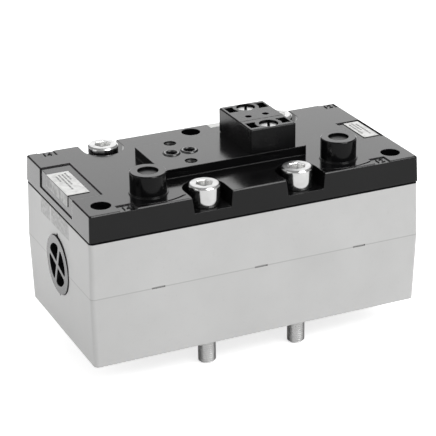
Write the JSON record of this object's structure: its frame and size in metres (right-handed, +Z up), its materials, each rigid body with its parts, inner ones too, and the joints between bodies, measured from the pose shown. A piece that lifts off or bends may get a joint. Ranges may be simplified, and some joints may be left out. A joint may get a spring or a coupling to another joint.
{
  "type": "directional control valve",
  "caption": "Pilot-operated spool valve for mounting on a ported base: cast body, moulded cover with override buttons, pilot adapter and socket-head mounting screws.",
  "frame": {"origin": "under the middle of the body, level with the lower ends of the four mounting screws", "axes": "+X along the spool towards the end with the adapter block, +Y towards the back edge with the middle cover screw, +Z up out of the cover"},
  "size_m": [0.1586, 0.0812, 0.0986],
  "materials": {
    "cast_body": "bead-blasted die casting with a clear coat",
    "cover_plastic": "black glass-filled polyamide, satin",
    "adapter_plastic": "black moulded plastic, satin",
    "cap_plastic": "black moulded plastic, satin",
    "seal_rubber": "black nitrile rubber",
    "gasket_sheet": "thin black gasket",
    "spool_metal": "turned and anodised",
    "zinc_screw": "bright zinc plated",
    "black_screw": "black oxide",
    "insert_steel": "turned steel, dulled",
    "spring_steel": "spring wire",
    "label_film": "silver-grey film"
  },
  "bodies": {
    "housing": {"body": "cast_body", "cover": "cover_plastic", "cover_gasket": "gasket_sheet", "base_seal": "seal_rubber", "left_end_cap": "cap_plastic", "left_cap_seal": "seal_rubber", "left_button_spring": "spring_steel", "right_end_cap": "cap_plastic", "right_cap_seal": "seal_rubber", "right_button_spring": "spring_steel", "open_port_seal_inner": "seal_rubber", "adapter_seal_inner": "seal_rubber", "open_port_seal_outer": "seal_rubber", "adapter_seal_outer": "seal_rubber", "pilot_adapter": "adapter_plastic", "adapter_screws": "zinc_screw", "threaded_inserts": "insert_steel", "mounting_screws": "zinc_screw", "cover_screws": "black_screw", "left_label": "label_film", "right_label": "label_film", "back_label": "label_film"},
    "spool_set": {"spool": "spool_metal", "spool_seal_1": "seal_rubber", "spool_seal_2": "seal_rubber", "spool_seal_3": "seal_rubber", "spool_seal_4": "seal_rubber", "spool_seal_5": "seal_rubber", "spool_seal_6": "seal_rubber"},
    "left_button": {"left_override_button": "cover_plastic", "left_button_seal": "seal_rubber"},
    "right_button": {"right_override_button": "cover_plastic", "right_button_seal": "seal_rubber"}
  },
  "joints": [
    {"name": "spool_shift", "type": "slide", "parent": "housing", "child": "spool_set", "axis": [1, 0, 0], "range_m": [0, 0.01]},
    {"name": "left_button_press", "type": "slide", "parent": "housing", "child": "left_button", "axis": [0, 0, -1], "range_m": [0, 0.0025], "stiffness_N_per_m": 1000, "springref_m": -0.002, "deforming": ["left_button_spring"]},
    {"name": "right_button_press", "type": "slide", "parent": "housing", "child": "right_button", "axis": [0, 0, -1], "range_m": [0, 0.0025], "stiffness_N_per_m": 1000, "springref_m": -0.002, "deforming": ["right_button_spring"]}
  ]
}
